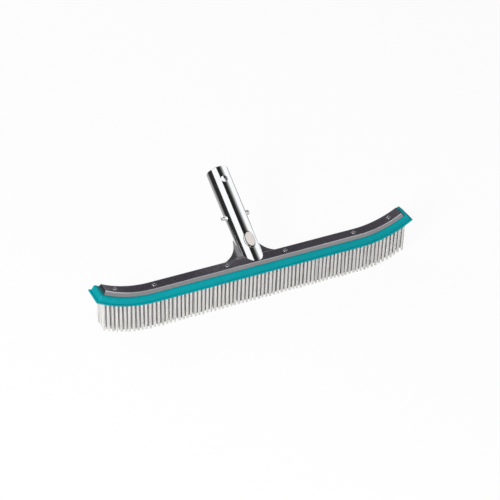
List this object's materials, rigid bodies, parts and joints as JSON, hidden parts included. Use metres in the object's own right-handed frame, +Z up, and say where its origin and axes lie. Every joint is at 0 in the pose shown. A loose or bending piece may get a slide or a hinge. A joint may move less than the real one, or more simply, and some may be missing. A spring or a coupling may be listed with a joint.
{
  "type": "pool wall brush",
  "caption": "Wide pool brush head with upturned ends, rows of bristles, a metal back and a tubular pole handle with side buttons.",
  "frame": {"origin": "centre of the flat tips of the bristles, in the middle of the straight stretch", "axes": "+X along the brush from left to right as seen from its front, +Y to the back, the way the handle leans, +Z up out of the back of the block"},
  "size_m": [0.445, 0.1432, 0.1297],
  "materials": {
    "teal_moulding": "smooth moulded plastic, satin to gloss",
    "dark_casting": "cast aluminium under a dark satin coat",
    "polished_tube": "drawn aluminium tube, polished and bright-dipped like chrome",
    "pale_plug": "satin pale plastic",
    "spring_steel": "bright spring steel",
    "button_metal": "bright turned steel",
    "screw_metal": "dark zinc-plated steel",
    "bristle": "pale nylon fibre"
  },
  "bodies": {
    "brush": {"brush_block": "teal_moulding", "back_bar": "dark_casting", "handle_tube": "polished_tube", "retaining_plug": "pale_plug", "spring_clip": "spring_steel", "bar_screw_1": "screw_metal", "bar_screw_2": "screw_metal", "bar_screw_3": "screw_metal", "bar_screw_4": "screw_metal", "bar_screw_5": "screw_metal", "bar_screw_6": "screw_metal", "bristle_row_1_left": "bristle", "bristle_row_1_right": "bristle", "bristle_row_2_left": "bristle", "bristle_row_2_right": "bristle", "bristle_row_3_left": "bristle", "bristle_row_3_right": "bristle", "bristle_row_4_left": "bristle", "bristle_row_4_right": "bristle", "bristle_row_5_left": "bristle", "bristle_row_5_right": "bristle"},
    "left_button": {"button_left": "button_metal"},
    "right_button": {"button_right": "button_metal"}
  },
  "joints": [
    {"name": "left_button_press", "type": "slide", "parent": "brush", "child": "left_button", "axis": [1, 0, 0], "range_m": [0, 0.0052], "stiffness_N_per_m": 1500, "springref_m": -0.003, "deforming": ["spring_clip"]},
    {"name": "right_button_press", "type": "slide", "parent": "brush", "child": "right_button", "axis": [-1, 0, 0], "range_m": [0, 0.0052], "stiffness_N_per_m": 1500, "springref_m": -0.003, "deforming": ["spring_clip"]}
  ]
}
